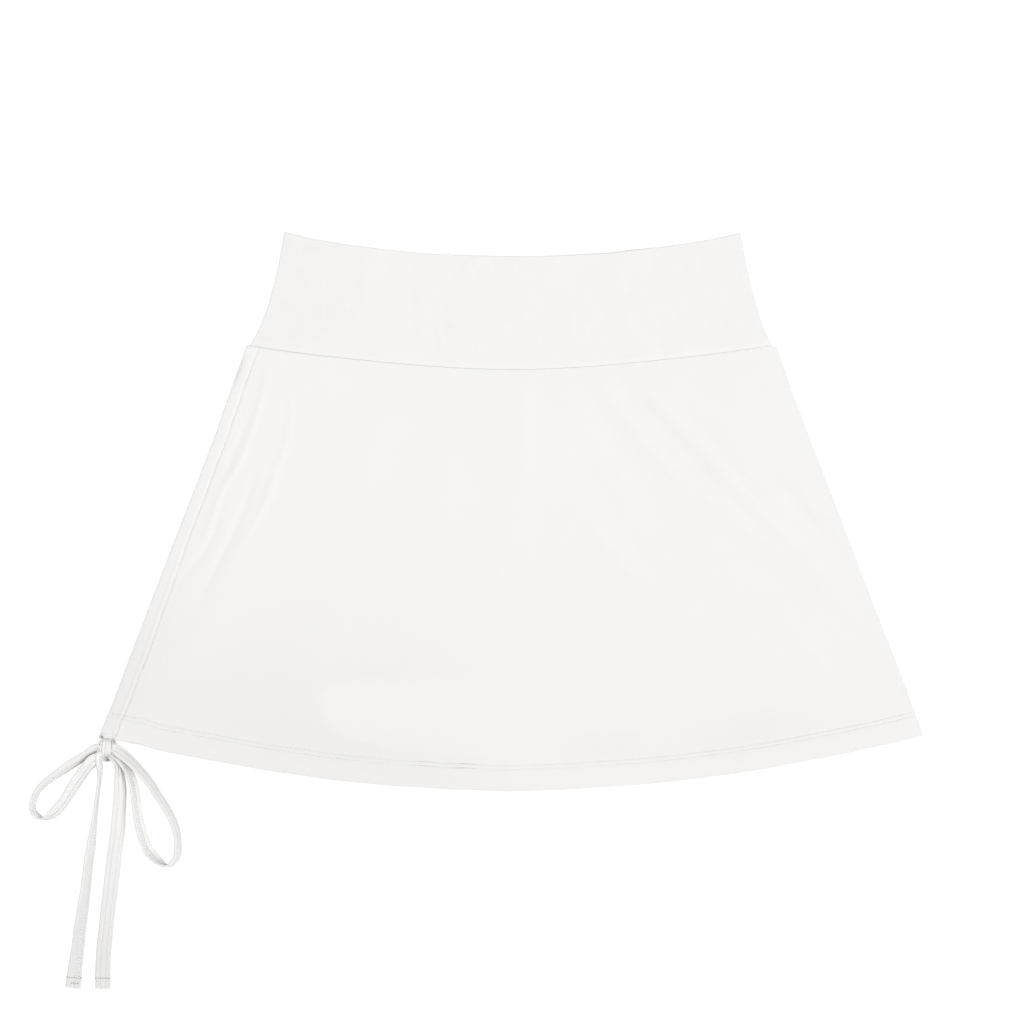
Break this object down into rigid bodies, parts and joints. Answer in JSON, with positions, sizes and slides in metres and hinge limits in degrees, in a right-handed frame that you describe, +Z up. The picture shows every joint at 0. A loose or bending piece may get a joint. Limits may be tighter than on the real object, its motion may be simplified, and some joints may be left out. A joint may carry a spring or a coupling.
{
  "type": "yoga skort",
  "caption": "High-waisted A-line yoga skort laid flat on its back, with inner shorts and a side drawstring channel tied in a bow at the hem.",
  "frame": {"origin": "on the surface it lies on, under the middle of the footprint of the garment without its bow", "axes": "+X across the garment from the drawstring side to the plain side, +Y from the hem to the waist, +Z up out of the front panel"},
  "size_m": [0.6245, 0.5291, 0.0105],
  "materials": {
    "skirt_knit": "matt off-white stretch interlock knit, brushed, with a very faint sheen",
    "band_knit": "the same off-white knit, folded double over an elastic",
    "shorts_knit": "the same off-white knit in one ply",
    "tape_knit": "off-white tape of the same knit, folded and coverstitched"
  },
  "bodies": {
    "root": {"skirt_front": "skirt_knit", "skirt_back": "skirt_knit", "channel_casing": "skirt_knit", "waistband_front": "band_knit", "waistband_back": "band_knit", "shorts_left_front": "shorts_knit", "shorts_left_back": "shorts_knit", "shorts_right_front": "shorts_knit", "shorts_right_back": "shorts_knit", "drawstring_knot": "tape_knit", "drawstring_in_channel": "tape_knit", "drawstring_loop_left": "tape_knit", "drawstring_loop_right": "tape_knit", "drawstring_tail_left": "tape_knit", "drawstring_tail_right": "tape_knit"}
  },
  "joints": []
}
